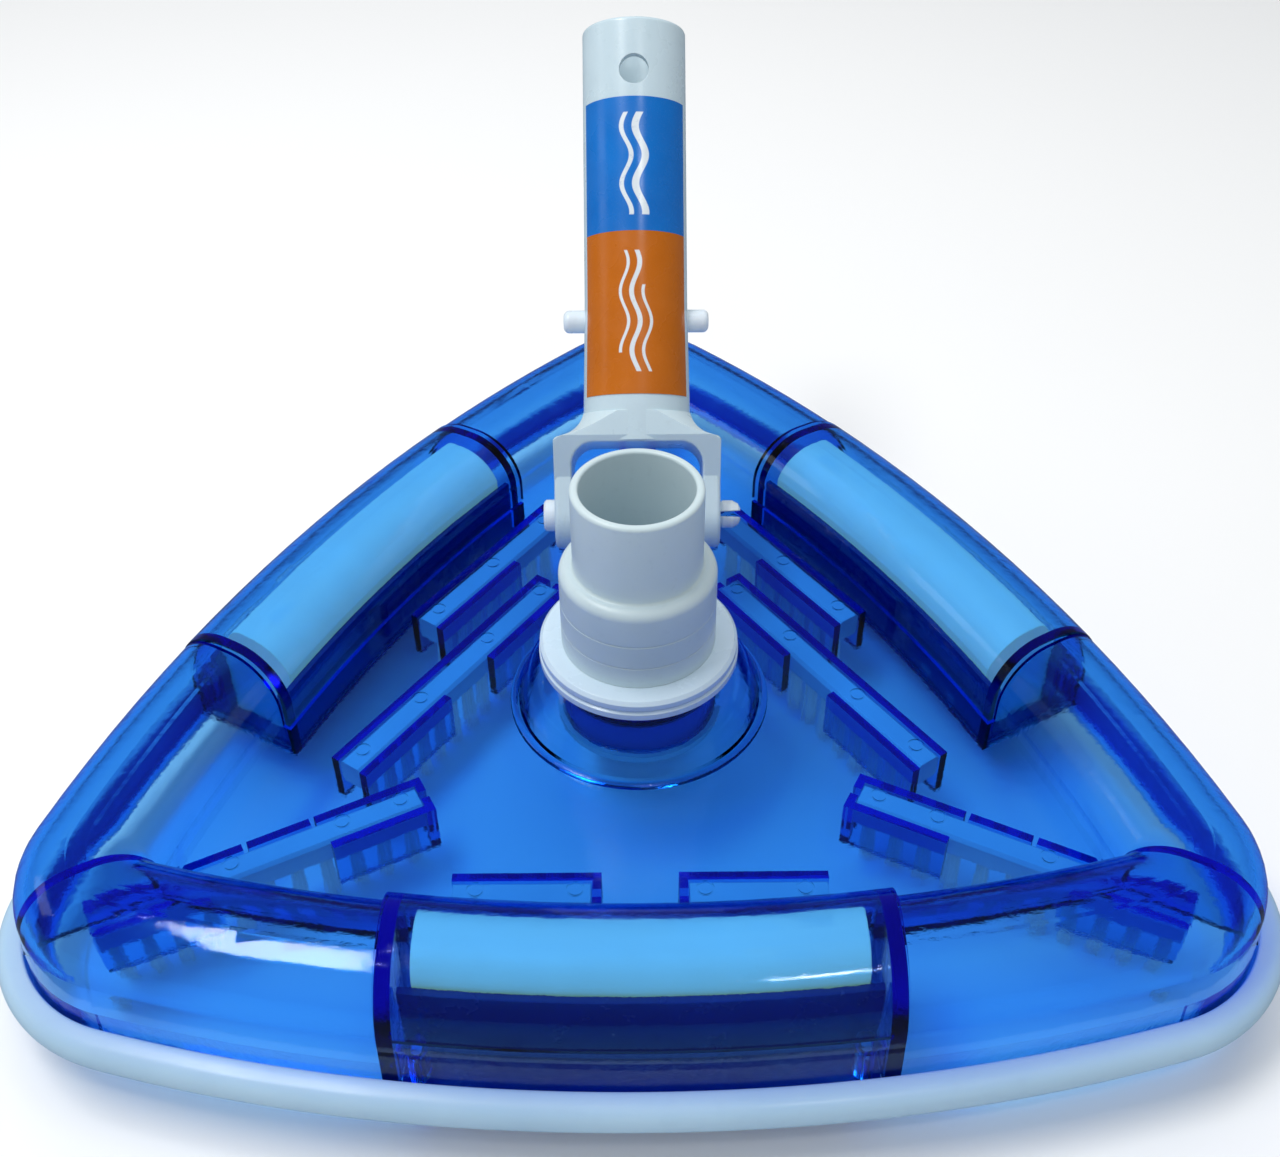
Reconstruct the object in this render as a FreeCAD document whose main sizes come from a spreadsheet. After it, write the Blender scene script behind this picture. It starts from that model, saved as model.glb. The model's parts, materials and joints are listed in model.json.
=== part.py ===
import FreeCAD, Part
import math
import os
import sys
import Sketcher

# Weighted triangular vacuum head with a swivel hose spigot and a tilting pole socket.
# Millimetres, +Z up. The origin lies on the hose swivel's axis, in the plane of the bumper's
# underside. +Y points to the back corner, towards which the pole socket leans. -Y is the front,
# +X the right, and X runs along the pivot pin.

os.makedirs("parts", exist_ok=True)
doc = FreeCAD.newDocument("VacuumHead")
Vector = FreeCAD.Vector
ORIGIN = Vector()
X_AXIS, Y_AXIS, Z_AXIS = Vector(1, 0, 0), Vector(0, 1, 0), Vector(0, 0, 1)

# ---------------------------------------------------------------- driving dimensions
SIZES = [
    # plan outline: three wide side arcs and three corner arcs. An "inset", and every "in", "out"
    # or arch x of the tunnel, housings, weights and covers, is the distance from the hub's axis
    # at mid-side
    ("side_center", 333.0), ("corner_inset", 77.0), ("bumper_inset", 117.0),
    # tunnel section
    ("tunnel_in", 77.0), ("tunnel_out", 110.5), ("tunnel_bottom", 2.0),
    ("tunnel_shoulder", 14.0), ("shoulder_in", 91.0), ("shoulder_out", 95.2),
    ("shoulder_z", 19.4), ("wall", 2.4), ("deck_top", 14.0), ("deck_thick", 2.5),
    ("rib_thick", 2.4),
    # weight housings
    ("house_half", 54.5), ("house_end", 3.5), ("house_in", 75.3), ("house_arch_in", 90.0),
    ("house_arch_r", 14.7), ("house_arch_z", 20.0), ("house_out_x", 93.6),
    ("house_out_z", 18.9), ("house_out_r", 15.8), ("house_mid", 88.0),
    # weights
    ("weight_half", 47.5), ("weight_in", 79.3), ("weight_out", 98.4), ("weight_floor", 4.4),
    ("weight_crown", 31.3), ("weight_arch_x", 90.0), ("weight_arch_z", 20.0),
    ("weight_arch_r", 11.3), ("weight_in_z", 23.63), ("weight_edge_r", 5.9),
    # weight covers and their screws
    ("cover_in", 77.95), ("cover_out", 107.85), ("cover_half", 50.5), ("cover_z", 2.0),
    ("cover_thick", 2.2), ("tray_in", 79.15), ("tray_in_z", 21.5), ("tray_out", 98.65),
    ("tray_wall", 1.7), ("tray_out_z", 24.6), ("boss_inset", 105.5), ("boss_half", 46.9),
    ("boss_r", 2.4), ("boss_top", 14.5), ("screw_r", 1.2), ("screw_len", 9.0),
    ("screw_head_r", 2.3), ("screw_head_h", 1.3),
    # bumper
    ("bumper_top", 8.7), ("bumper_lip", 106.4), ("bumper_gap", 0.05),
    # brush rails, bars and bristles
    ("rail_gap", 7.0), ("rail_wall", 2.3), ("rail_bottom", -2.0), ("rail_return", 2.4),
    ("bar_width", 6.8), ("bar_bottom", 4.6), ("bar_inset", 2.4), ("tuft_width", 4.0),
    ("tuft_bottom", -12.0), ("mark_r", 2.1),
    # swivel hub and hose spigot
    ("hub_ring", 32.4), ("hub_base", 31.4), ("hub_top_r", 24.2), ("hub_top", 28.8),
    ("hub_bore", 17.05), ("hub_sleeve", 19.4), ("hub_sleeve_bottom", 12.0),
    ("journal_r", 17.0), ("spigot_bore", 13.8), ("spigot_bottom", 8.6), ("step_r", 19.4),
    ("step_top", 58.6), ("pipe_r", 15.9), ("pipe_top", 81.4), ("collar_r", 25.2),
    ("collar_bottom", 28.85), ("collar_top", 35.0), ("retainer_r", 20.6),
    ("retainer_bottom", 10.0), ("retainer_top", 11.9), ("retainer_groove", 15.9),
    ("seal_z", 21.0), ("seal_major", 16.22), ("seal_minor", 0.8), ("seal_groove", 15.4),
    # pivot
    ("pivot_y", 42.0), ("pivot_z", 40.0), ("pin_r", 3.0), ("pin_clear", 0.05),
    ("ear_in", 12.6), ("ear_out", 16.9), ("ear_round", 7.6), ("pin_head_r", 4.3),
    ("pin_head_x", 25.3), ("pin_tail_x", 27.8),
    # handle; an "_s" is a height above the pivot along the upright handle
    ("handle_lean", 40.0), ("fork_half", 22.1), ("fork_gap_half", 17.4), ("leg_round", 9.0),
    ("window_top", 18.9), ("shoulder_s", 20.4), ("neck_s", 26.6), ("tube_r", 14.4),
    ("grip_r", 13.9), ("tube_end", 130.0), ("tube_bore", 11.4), ("bore_floor", 26.0),
    ("button_s", 52.4), ("button_r", 3.05), ("button_hole_r", 3.1), ("button_tip", 19.6),
    ("button_root", 10.3), ("cross_s", 116.2), ("cross_r", 3.9), ("label_bottom", 31.3),
    ("label_split", 74.0), ("label_top", 109.0), ("label_thick", 0.12),
    ("label_half_deg", 67.0), ("clip_thick", 0.8), ("clip_width", 7.0),
]


class Size(float):
    """A number that carries its spreadsheet formula through + - * / and negation."""

    def __new__(cls, value, formula):
        size = float.__new__(cls, value)
        size.formula = formula
        return size

    def __add__(self, other):
        return joined(self, "+", other, float(self) + float(other))

    def __radd__(self, other):
        return joined(other, "+", self, float(other) + float(self))

    def __sub__(self, other):
        return joined(self, "-", other, float(self) - float(other))

    def __rsub__(self, other):
        return joined(other, "-", self, float(other) - float(self))

    def __mul__(self, other):
        return joined(self, "*", other, float(self) * float(other))

    __rmul__ = __mul__

    def __truediv__(self, other):
        return joined(self, "/", other, float(self) / float(other))

    def __neg__(self):
        return Size(-float(self), "(0 - %s)" % self.formula)


def formula_of(number):
    return number.formula if isinstance(number, Size) else repr(float(number))


def joined(left, sign, right, value):
    return Size(value, "(%s %s %s)" % (formula_of(left), sign, formula_of(right)))


class Dimensions:
    """Holds each driving dimension as an attribute named after its alias."""


dim = Dimensions()
sheet = doc.addObject("Spreadsheet::Sheet", "Params")
for row, (name, value) in enumerate(SIZES, start=1):
    sheet.set("A%d" % row, name)
    sheet.set("B%d" % row, repr(value))
    sheet.setAlias("B%d" % row, name)
    setattr(dim, name, Size(value, "Params." + name))
doc.recompute()
for name, value in SIZES:
    if abs(float(getattr(sheet, name)) - value) > 1e-9:
        sys.exit("the sheet does not hold " + name)

NODES = []          # (node name, document object)


def node(obj, name):
    """Labels an object and lists it for export."""
    obj.Label = name
    NODES.append((name, obj))


def bind(obj, **sizes):
    for prop, size in sizes.items():
        obj.setExpression(prop, formula_of(size))


def place(x=0.0, y=0.0, z=0.0, axis=Z_AXIS, deg=0.0):
    return FreeCAD.Placement(Vector(x, y, z), FreeCAD.Rotation(axis, deg))


# ---------------------------------------------------------------- sketches and bodies
# A path or section is a closed list of points. (x, y) is reached by a line and
# (x, y, centre x, centre y, radius) by an arc shorter than a half turn.
def add_segment(sketch, start, end):
    """Adds a line or arc. Returns its index and the vertex numbers of its start and end."""
    if len(end) == 2:
        shape = Part.LineSegment(Vector(start[0], start[1], 0), Vector(end[0], end[1], 0))
        return sketch.addGeometry(shape, False), 1, 2
    centre_x, centre_y, radius = end[2:]
    from_x, from_y = start[0] - centre_x, start[1] - centre_y
    to_x, to_y = end[0] - centre_x, end[1] - centre_y
    ccw = from_x * to_y - from_y * to_x > 0
    first, last = math.atan2(from_y, from_x), math.atan2(to_y, to_x)
    if not ccw:
        first, last = last, first
    if last <= first:
        last += 2 * math.pi
    circle = Part.Circle(Vector(centre_x, centre_y, 0), Z_AXIS, float(radius))
    index = sketch.addGeometry(Part.ArcOfCircle(circle, first, last), False)
    return (index, 1, 2) if ccw else (index, 2, 1)


def add_dimension(sketch, size, kind, *where):
    index = sketch.addConstraint(Sketcher.Constraint(kind, *where, float(size)))
    sketch.setExpression("Constraints[%d]" % index, formula_of(size))


def draw(sketch, path):
    """Draws a closed path and binds every corner and radius to its formula."""
    segments = list(zip(path[:-1], path[1:]))
    start, end = path[0], path[-1]
    if abs(end[0] - start[0]) > 1e-9 or abs(end[1] - start[1]) > 1e-9:
        segments.append((end, start))
    ends = [add_segment(sketch, a, b) for a, b in segments]
    for (index, _, last), (following, first, _) in zip(ends, ends[1:] + ends[:1]):
        sketch.addConstraint(Sketcher.Constraint("Coincident", index, last, following, first))
    for (a, b), (index, first, _) in zip(segments, ends):
        for kind, axis, size in (("DistanceX", -2, a[0]), ("DistanceY", -1, a[1])):
            if abs(size) < 1e-9:
                on_axis = Sketcher.Constraint("PointOnObject", index, first, axis)
                sketch.addConstraint(on_axis)
            else:
                add_dimension(sketch, size, kind, -1, 1, index, first)
        if len(b) == 5:
            add_dimension(sketch, b[4], "Radius", index)


def body_with_sketch(name, role, path):
    body = doc.addObject("PartDesign::Body", name + "_body")
    plane = [o for o in body.Origin.OriginFeatures if o.Role == role][0]
    sketch = body.newObject("Sketcher::SketchObject", name + "_section")
    sketch.AttachmentSupport = [(plane, "")]
    sketch.MapMode = "FlatFace"
    draw(sketch, path)
    doc.recompute()
    return body, sketch


def revolve_body(name, path):
    """Turns an (x, z) path about Z."""
    body, sketch = body_with_sketch(name, "XZ_Plane", path)
    turn_feature = body.newObject("PartDesign::Revolution", name + "_turned")
    turn_feature.Profile = sketch
    turn_feature.ReferenceAxis = (sketch, ["V_Axis"])
    turn_feature.Angle = 360.0
    body.Tip = turn_feature
    doc.recompute()
    return body


def pad_body(name, role, path, length):
    """Pads a path equally to both sides of its plane."""
    body, sketch = body_with_sketch(name, role, path)
    pad = body.newObject("PartDesign::Pad", name + "_pad")
    pad.Profile = sketch
    bind(pad, Length=length)
    pad.SideType = "Symmetric"
    body.Tip = pad
    doc.recompute()
    return body


# ---------------------------------------------------------------- Part document objects
PLANES = {"XZ": FreeCAD.Rotation(X_AXIS, 90), "YZ": FreeCAD.Rotation(Vector(1, 1, 1), 120)}


def free_sketch(name, plane, path):
    sketch = doc.addObject("Sketcher::SketchObject", name)
    sketch.Placement = FreeCAD.Placement(ORIGIN, PLANES[plane])
    draw(sketch, path)
    doc.recompute()
    return sketch


def extruded(name, sketch, direction, length):
    extrusion = doc.addObject("Part::Extrusion", name)
    extrusion.Base = sketch
    extrusion.DirMode = "Custom"
    extrusion.Dir = direction
    extrusion.Solid = True
    extrusion.Symmetric = True
    bind(extrusion, LengthFwd=length)
    doc.recompute()
    return extrusion


def turned(name, sketch, angle=360.0):
    """Turns a sketch about Z; less than a full turn is spread to both sides of the sketch."""
    revolution = doc.addObject("Part::Revolution", name)
    revolution.Source = sketch
    revolution.Axis = Z_AXIS
    revolution.Base = ORIGIN
    revolution.Angle = angle
    revolution.Symmetric = angle < 359.0
    revolution.Solid = True
    doc.recompute()
    return revolution


def doc_cylinder(name, radius, height, placement):
    obj = doc.addObject("Part::Cylinder", name)
    bind(obj, Radius=radius, Height=height)
    obj.Placement = placement
    return obj


def doc_box(name, length, width, height, placement):
    obj = doc.addObject("Part::Box", name)
    bind(obj, Length=length, Width=width, Height=height)
    obj.Placement = placement
    return obj


def boolean(kind, name, operands):
    if kind == "Cut":
        result = doc.addObject("Part::Cut", name)
        result.Base, result.Tool = operands
    else:
        result = doc.addObject("Part::Multi" + kind, name)
        result.Shapes = operands
    result.Refine = True
    doc.recompute()
    return result


def feature(name, shape):
    obj = doc.addObject("Part::Feature", name)
    obj.Shape = shape
    return obj


# ---------------------------------------------------------------- plan outline
# Each corner circle is tangent inside the two side arcs it joins.
corner_radius = dim.bumper_inset - dim.corner_inset
side_radius = dim.side_center + dim.bumper_inset
CORNER_DISTANCE = (-dim.side_center + math.sqrt(4 * (side_radius - corner_radius) ** 2
                                                - 3 * dim.side_center ** 2)) / 2
SIDE_SPREAD = math.degrees(math.atan2(CORNER_DISTANCE * math.cos(math.radians(30)),
                                      dim.side_center + CORNER_DISTANCE / 2))
CORNER_SPREAD = 60 - SIDE_SPREAD    # both spreads are half turns, in degrees
FRONT_SIDE = 270.0
SIDES = {FRONT_SIDE: "front", 30.0: "right", 150.0: "left"}     # direction: name
CORNERS = (90.0, 210.0, 330.0)


def unit(deg):
    return Vector(math.cos(math.radians(deg)), math.sin(math.radians(deg)), 0)


def half_angle(length):
    """Half turn of a side arc that is this half length along the middle of the housings."""
    return math.degrees(math.asin(length / (dim.side_center + dim.house_mid)))


def section(points, shift=0.0):
    """Face in the XZ plane, moved along X by the shift."""
    edges = []
    for start, end in zip(points[-1:] + points[:-1], points):
        first = Vector(start[0] + shift, 0, start[1])
        last = Vector(end[0] + shift, 0, end[1])
        if len(end) == 5:
            centre = Vector(end[2] + shift, 0, end[3])
            outward = (first + last) * 0.5 - centre
            middle = centre + outward * (end[4] / outward.Length)
            edges.append(Part.Arc(first, middle, last).toShape())
        else:
            edges.append(Part.LineSegment(first, last).toShape())
    return Part.Face(Part.Wire(Part.__sortEdges__(edges)))


def sweep_side(points, side, spread=SIDE_SPREAD):
    face = section(points, dim.side_center)
    face.rotate(ORIGIN, Z_AXIS, side - spread)
    solid = face.revolve(ORIGIN, Z_AXIS, 2 * spread)
    solid.translate(unit(side) * -dim.side_center)
    return solid


def sweep_corner(points, corner):
    face = section(points, -dim.corner_inset)
    face.rotate(ORIGIN, Z_AXIS, corner - CORNER_SPREAD)
    solid = face.revolve(ORIGIN, Z_AXIS, 2 * CORNER_SPREAD)
    solid.translate(unit(corner) * CORNER_DISTANCE)
    return solid


def sweep_ring(points):
    return [sweep_side(points, s) for s in SIDES] + [sweep_corner(points, c) for c in CORNERS]


def plan_arc(centre, radius, direction, spread):
    stops = [centre + unit(direction + turn_by) * radius for turn_by in (-spread, 0, spread)]
    return Part.Arc(*stops).toShape()


def outline(inset, z, height):
    """Prism of the plan outline; sharp-cornered when the inset reaches the corner centres."""
    edges = []
    radius = inset - dim.corner_inset
    for side in SIDES:
        edges.append(plan_arc(unit(side) * -dim.side_center, dim.side_center + inset,
                              side, SIDE_SPREAD))
        if radius > 1e-6:
            corner = side + 60
            edges.append(plan_arc(unit(corner) * CORNER_DISTANCE, radius,
                                  corner, CORNER_SPREAD))
    face = Part.Face(Part.Wire(Part.__sortEdges__(edges)))
    face.translate(Vector(0, 0, z))
    return face.extrude(Vector(0, 0, height))


def box(x0, x1, y0, y1, z0, z1):
    return Part.makeBox(x1 - x0, y1 - y0, z1 - z0, Vector(x0, y0, z0))


def cylinder(x, y, z, radius, height, axis=Z_AXIS):
    return Part.makeCylinder(radius, height, Vector(x, y, z), axis)


def turn(shape, deg):
    copy = shape.copy()
    copy.rotate(ORIGIN, Z_AXIS, deg)
    return copy


def revolve_z(points):
    return section(points).revolve(ORIGIN, Z_AXIS, 360)


def one_solid(shape):
    refined = shape.removeSplitter()
    if len(refined.Solids) != 1:
        sys.exit("expected one solid, got %d" % len(refined.Solids))
    return refined.Solids[0]


# ---------------------------------------------------------------- brush rail layout
WHOLE = [(0, 1)]
LONG_SPLIT = [(0, 0.387), (0.595, 1)]
SHORT_PART = [(0, 0.572)]
CORNER_THREE = [(0, 0.333), (0.348, 0.536), (0.551, 1)]
CORNER_TWO = [(0, 0.318), (0.66, 1)]
LONG_MARKS = (0.064, 0.324, 0.648, 0.926)
SHORT_MARKS = (0.086, 0.483, 0.88)
CORNER_MARKS = (0.085, 0.266, 0.597)
FRONT_MARKS = (0.17, 0.83)
# name: start, end, stretches of the left wall, of the right wall (seen from the start), marks.
# Stretches and marks are fractions of the rail's length.
RAILS = {
    "front_left": ((-43.75, -63.1), (-9.0, -63.1), WHOLE, WHOLE, FRONT_MARKS),
    "front_right": ((43.75, -63.1), (9.0, -63.1), WHOLE, WHOLE, FRONT_MARKS),
    "corner_left": ((-52.1, -32.6), (-124.8, -70.0), CORNER_TWO, CORNER_THREE, CORNER_MARKS),
    "corner_right": ((52.1, -32.6), (124.8, -70.0), CORNER_THREE, CORNER_TWO, CORNER_MARKS),
    "corner_back": ((0.0, 61.3), (0.0, 143.0), CORNER_THREE, CORNER_THREE, CORNER_MARKS),
    "long_left": ((-72.7, -23.9), (-24.3, 46.0), WHOLE, LONG_SPLIT, LONG_MARKS),
    "long_right": ((72.7, -23.9), (24.3, 46.0), LONG_SPLIT, WHOLE, LONG_MARKS),
    "short_left": ((-58.7, 29.2), (-24.1, 78.9), WHOLE, SHORT_PART, SHORT_MARKS),
    "short_right": ((58.7, 29.2), (24.1, 78.9), SHORT_PART, WHOLE, SHORT_MARKS),
}


def rail_frame(name):
    """Start point, length and direction in degrees."""
    start, end = [Vector(x, y, 0) for x, y in RAILS[name][:2]]
    run = end - start
    return start, run.Length, math.degrees(math.atan2(run.y, run.x))


def stops_at_start(name):
    """A corner rail is stopped at its start, every other rail at its end."""
    return name.startswith("corner")


def along(shape, name):
    """Lays a shape modelled along +X from the origin on the named rail."""
    start, _, angle = rail_frame(name)
    laid = turn(shape, angle)
    laid.translate(start)
    return laid


# ---------------------------------------------------------------- deck shell
deck_bottom = dim.deck_top - dim.deck_thick
ROOT_Z = deck_bottom + 0.5          # foot of the hub and the bracket, inside the deck
RAIL_TOP = deck_bottom + 0.4
RIB_INSET = 0.6                     # how far the ribs' edges lie inside the tunnel's skin
MARK_WIDTH, MARK_DEPTH = 0.4, 0.25
BELL_ARC = (13.7, 13.2)             # centre of the bell's rounded shoulder
BELL_OUTER_R, BELL_INNER_R = 17.7, 15.35
BELL_WALL = 2.3
NEAR, FAR = 50.0, 125.0             # housing sections run on past each other to these
HOLLOW_BOTTOM = 0.5
cover_top = dim.cover_z + dim.cover_thick
SCREW_X = dim.boss_half
SCREW_Y = -(dim.boss_inset - SCREW_X ** 2 / 860.0)     # screws drawn in as the side curves
shoulder_top = dim.shoulder_z + dim.tunnel_shoulder


def outer_shoulder(inset):
    """Arc point on the tunnel's outer shoulder, this far inside the skin."""
    radius = dim.tunnel_shoulder - inset
    return (dim.shoulder_out + radius, dim.shoulder_z, dim.shoulder_out, dim.shoulder_z, radius)


def tunnel_section(inset, bottom):
    return [(dim.tunnel_in + inset, bottom), (dim.tunnel_in + inset, dim.shoulder_z),
            (dim.shoulder_in, shoulder_top - inset, dim.shoulder_in, dim.shoulder_z,
             dim.tunnel_shoulder - inset),
            (dim.shoulder_out, shoulder_top - inset), outer_shoulder(inset),
            (dim.tunnel_out - inset, bottom)]


def hollow_deck():
    solids = [outline(dim.corner_inset, dim.tunnel_bottom, dim.deck_top - dim.tunnel_bottom)]
    solids += sweep_ring(tunnel_section(0.0, dim.tunnel_bottom))
    hollows = [outline(dim.tunnel_out - dim.wall, 0.0, deck_bottom)]
    hollows += sweep_ring(tunnel_section(dim.wall, deck_bottom))
    deck = solids[0].multiFuse(solids[1:]).removeSplitter()
    return deck.cut(hollows[0].multiFuse(hollows[1:]).removeSplitter())


def corner_ribs():
    """Partition across the tunnel in the middle plane of each corner."""
    half = dim.rib_thick / 2
    block = box(CORNER_DISTANCE - 1, CORNER_DISTANCE + 40, -half, half, dim.deck_top, 40)
    profile = tunnel_section(RIB_INSET, dim.deck_top)
    return [turn(block, corner).common(sweep_corner(profile, corner)) for corner in CORNERS]


def rail_walls(name):
    """Two walls under the deck with a short return on each at the stopped end."""
    _, length, _ = rail_frame(name)
    half = dim.rail_gap / 2
    outer = half + dim.rail_wall
    stop = dim.rail_wall - 0.2
    stop_span = (0.0, stop) if stops_at_start(name) else (length - stop, length)
    pieces = []
    for side, stretches in zip((1, -1), RAILS[name][2:4]):
        low, high = (half, outer) if side > 0 else (-outer, -half)
        for begin, end in stretches:
            pieces.append(box(begin * length, end * length, low, high,
                              dim.rail_bottom, RAIL_TOP))
        low, high = sorted((side * (half - dim.rail_return), side * (half + 0.2)))
        pieces.append(box(*stop_span, low, high, dim.rail_bottom, RAIL_TOP))
    if name.startswith("corner"):
        # roof over the outer stretch of the corner rail
        pieces.append(box(0.6 * length, length, -outer, outer, deck_bottom, dim.deck_top))
    return [along(piece, name) for piece in pieces]


def rail_marks(name):
    """Cutters for the shallow rings in the deck's top above a rail."""
    _, length, _ = rail_frame(name)
    rings = []
    for fraction in RAILS[name][4]:
        x = length * fraction
        disc = cylinder(x, 0, dim.deck_top - MARK_DEPTH, dim.mark_r, 1)
        core = cylinder(x, 0, dim.deck_top - 0.3, dim.mark_r - MARK_WIDTH, 1.2)
        rings.append(along(disc.cut(core), name))
    return rings


def hub():
    """Solid bell and the bead around its foot."""
    bell = revolve_z([(0, ROOT_Z), (dim.hub_base, ROOT_Z), (dim.hub_base, dim.deck_top),
                      (dim.hub_top_r, dim.hub_top, *BELL_ARC, BELL_OUTER_R), (0, dim.hub_top)])
    bead = Part.makeTorus(dim.hub_ring, 1.15, Vector(0, 0, dim.deck_top), Z_AXIS)
    return [bell, bead]


def bell_hollow():
    """Space inside the bell, around the inner sleeve."""
    radius, top = dim.hub_base - BELL_WALL, dim.hub_top - BELL_WALL
    inside = revolve_z([(0, 0), (radius, 0), (radius, dim.deck_top),
                        (dim.hub_top_r - 1.6, top, *BELL_ARC, BELL_INNER_R), (0, top)])
    bottom = dim.hub_sleeve_bottom
    sleeve = revolve_z([(0, bottom), (dim.hub_sleeve, bottom),
                        (dim.hub_sleeve, dim.hub_top), (0, dim.hub_top)])
    return inside.cut(sleeve)


def pivot_bracket():
    """Two ears that hold the pin and a low web between them."""
    y, z, radius = dim.pivot_y, dim.pivot_z, dim.ear_round
    corners = [(y - 10.5, ROOT_Z), (y + 13, ROOT_Z), (y + radius, z), (y - radius, z),
               (y - 10.5, ROOT_Z)]
    profile = Part.Face(Part.makePolygon([Vector(0, *corner) for corner in corners]))
    width = dim.ear_out - dim.ear_in
    pieces = []
    for x in (-dim.ear_out, dim.ear_in):
        ear = profile.copy()
        ear.translate(Vector(x, 0, 0))
        eye = cylinder(x, y, z, radius, width, X_AXIS)
        pieces.append(ear.extrude(Vector(width, 0, 0)).fuse(eye))
    pieces.append(box(-dim.ear_in - 0.5, dim.ear_in + 0.5, y + 7.2, y + 9.8,
                      ROOT_Z, dim.deck_top + 16))
    return pieces


def housing(inset, bottom, tunnel_points, half):
    """Weight housing of the front side, shrunk by an inset and cut square at +-half."""
    inner_x = dim.house_in + inset
    arch_x, arch_z = dim.house_arch_in, dim.house_arch_z
    arch_r = dim.house_arch_r - inset
    inner = sweep_side([(inner_x, bottom), (inner_x, arch_z),
                        (arch_x, arch_z + arch_r, arch_x, arch_z, arch_r),
                        (FAR, arch_z + arch_r), (FAR, bottom)],
                       FRONT_SIDE, half_angle(dim.house_half + 8))
    out_x, out_z, out_r = dim.house_out_x, dim.house_out_z, dim.house_out_r - inset
    outer = sweep_side([(NEAR, bottom), (out_x + out_r, bottom), (out_x + out_r, out_z),
                        (out_x, out_z + out_r, out_x, out_z, out_r), (NEAR, out_z + out_r)],
                       FRONT_SIDE)
    tunnel = sweep_side(tunnel_points, FRONT_SIDE)
    return outer.fuse(tunnel).common(inner).common(box(-half, half, -140, -30, -5, 60))


def screw_boss(x):
    """Boss with a web to the housing's end plate and one to its outer wall."""
    bottom, top = cover_top + 0.05, dim.boss_top
    near, far = sorted((x, math.copysign(dim.house_half - 1, x)))
    end_web = box(near, far, SCREW_Y - 1.0, SCREW_Y + 1.0, bottom, top)
    wall_web = box(x - 1.0, x + 1.0, SCREW_Y - 3.9, SCREW_Y, bottom, top)
    boss = cylinder(x, SCREW_Y, bottom, dim.boss_r, top - cover_top - 0.05)
    return boss.fuse(end_web).fuse(wall_web)


def add_housings(shell):
    out, hollow_out = dim.tunnel_out, dim.tunnel_out - dim.wall
    skin = housing(0.0, dim.tunnel_bottom,
                   [(NEAR, dim.tunnel_bottom), (NEAR, shoulder_top),
                    (dim.shoulder_out, shoulder_top), outer_shoulder(0.0),
                    (out, dim.tunnel_bottom)], dim.house_half)
    hollow = housing(dim.wall, HOLLOW_BOTTOM,
                     [(NEAR, HOLLOW_BOTTOM), (NEAR, dim.shoulder_z + 2),
                      (dim.shoulder_out + 0.01, shoulder_top - dim.wall),
                      outer_shoulder(dim.wall), (hollow_out, dim.shoulder_z - 0.01),
                      (hollow_out, HOLLOW_BOTTOM)], dim.house_half - dim.house_end)
    bosses = [screw_boss(x) for x in (-SCREW_X, SCREW_X)]
    pilots = [cylinder(x, SCREW_Y, 0, dim.screw_r + 0.05, dim.boss_top - 1.5)
              for x in (-SCREW_X, SCREW_X)]
    for side in SIDES:
        angle = side - FRONT_SIDE
        shell = shell.fuse(turn(skin, angle))
        shell = shell.cut(turn(hollow, angle))
        shell = shell.fuse([turn(boss, angle) for boss in bosses])
        shell = shell.cut([turn(pilot, angle) for pilot in pilots])
    return shell


def build_deck():
    additions = corner_ribs()
    marks = []
    for name in RAILS:
        additions += rail_walls(name)
        marks += rail_marks(name)
    additions += hub() + pivot_bracket()
    shell = hollow_deck().multiFuse(additions).removeSplitter()
    shell = shell.cut(bell_hollow()).cut(cylinder(0, 0, 0, dim.hub_bore, 60))
    shell = shell.cut(cylinder(-30, dim.pivot_y, dim.pivot_z, dim.pin_r + dim.pin_clear,
                               60, X_AXIS))
    shell = add_housings(shell).cut(marks)
    node(feature("DeckShell", one_solid(shell)), "deck_shell")


# ---------------------------------------------------------------- bumper
def build_bumper():
    """Ring around the deck's skirt with a lip under its edge."""
    out, top = dim.bumper_inset, dim.bumper_top
    seat, lip_top = dim.tunnel_out + dim.bumper_gap, dim.tunnel_bottom - dim.bumper_gap
    ring = sweep_ring([(dim.bumper_lip, 0.0), (out - 2.6, 0.0), (out - 0.7, 1.8), (out, 4.4),
                       (out - 0.9, 7.4), (out - 3.0, top - 0.6), (dim.tunnel_out + 1.0, top),
                       (seat, top - 0.9), (seat, lip_top), (dim.bumper_lip, lip_top)])
    node(feature("Bumper", one_solid(ring[0].multiFuse(ring[1:]))), "bumper")


# ---------------------------------------------------------------- weights and their covers
head_height = dim.screw_head_h - 0.1
head_top = dim.cover_z + dim.screw_head_h - 0.1


def to_side(obj, side):
    """Turns a piece modelled on the front side to another side."""
    obj.Placement = place(deg=side - FRONT_SIDE)


def swept(name, path, half):
    """Front-side sweep of a section whose x is measured from the side arc's centre."""
    ring = turned(name + "_turned", free_sketch(name + "_section", "XZ", path),
                  angle=2 * half_angle(half + 8))
    ring.Placement = place(y=dim.side_center, deg=FRONT_SIDE)
    span = doc_box(name + "_length", half * 2, 80.0, 60.0, place(-half, -130.0, -5.0))
    span.setExpression("Placement.Base.x", formula_of(-half))
    return boolean("Common", name, [ring, span])


def build_weight(side, tag):
    inner, outer = dim.side_center + dim.weight_in, dim.side_center + dim.weight_out
    arch_x = dim.side_center + dim.weight_arch_x
    floor, crown, edge = dim.weight_floor, dim.weight_crown, dim.weight_edge_r
    path = [(inner, floor), (outer, floor), (outer, crown - edge),
            (outer - edge, crown, outer - edge, crown - edge, edge), (arch_x, crown),
            (inner, dim.weight_in_z, arch_x, dim.weight_arch_z, dim.weight_arch_r)]
    weight = swept("weight_" + tag, path, dim.weight_half)
    to_side(weight, side)
    node(weight, "weight_" + tag)


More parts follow.
